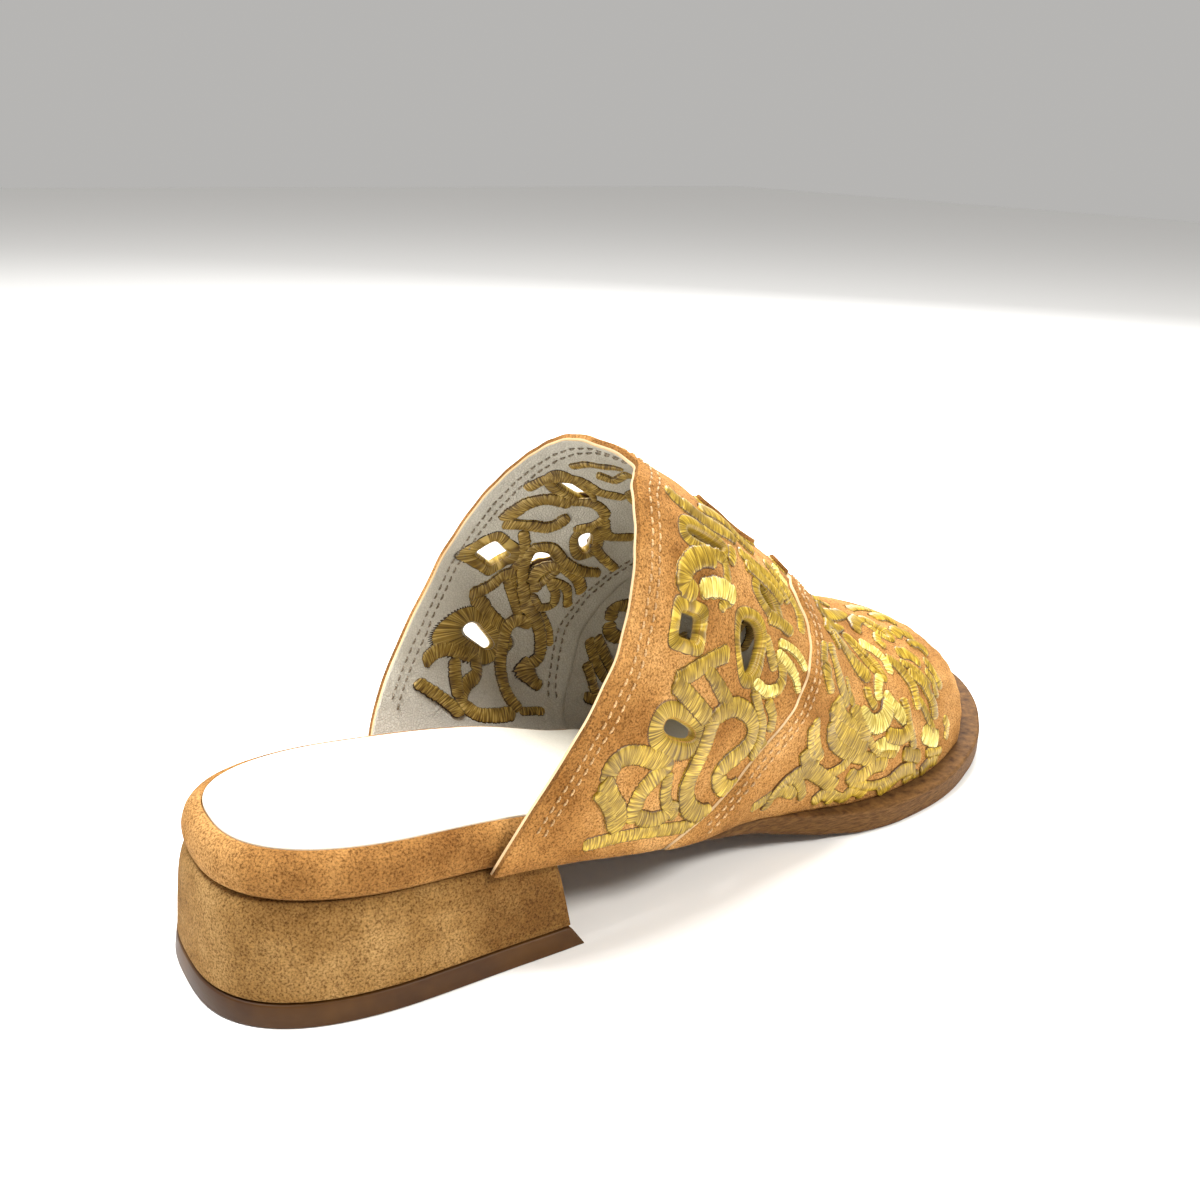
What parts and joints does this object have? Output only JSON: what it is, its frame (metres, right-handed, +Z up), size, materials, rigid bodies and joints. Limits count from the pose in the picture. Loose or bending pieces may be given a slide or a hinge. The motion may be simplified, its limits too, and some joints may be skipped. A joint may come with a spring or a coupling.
{
  "type": "open toe mule shoe",
  "caption": "Right open-toe mule with a low flared block heel, a pierced and embroidered high-cut upper in two lapped panels, and a rolled wrapped footbed with a pale lining.",
  "frame": {"origin": "on the floor under the middle of the shoe's box", "axes": "+X from heel to toe, +Y to the inner (medial) side, +Z up"},
  "size_m": [0.259, 0.0896, 0.1071],
  "materials": {
    "outsole": "matt brown leather sole with a brushed edge",
    "heel_suede": "brown tan suede cover, mottled nap",
    "top_piece_rubber": "dark caramel rubber, satin",
    "rim_suede": "tan suede cover, fine nap",
    "sock_leather": "smooth off-white leather, low sheen",
    "upper_suede": "tan suede with raised golden satin-stitch embroidery, pale grey leather lining"
  },
  "bodies": {
    "root": {"outsole": "outsole", "heel_block": "heel_suede", "top_piece": "top_piece_rubber", "footbed": "rim_suede", "sock_lining": "sock_leather", "upper": "upper_suede"}
  },
  "joints": []
}
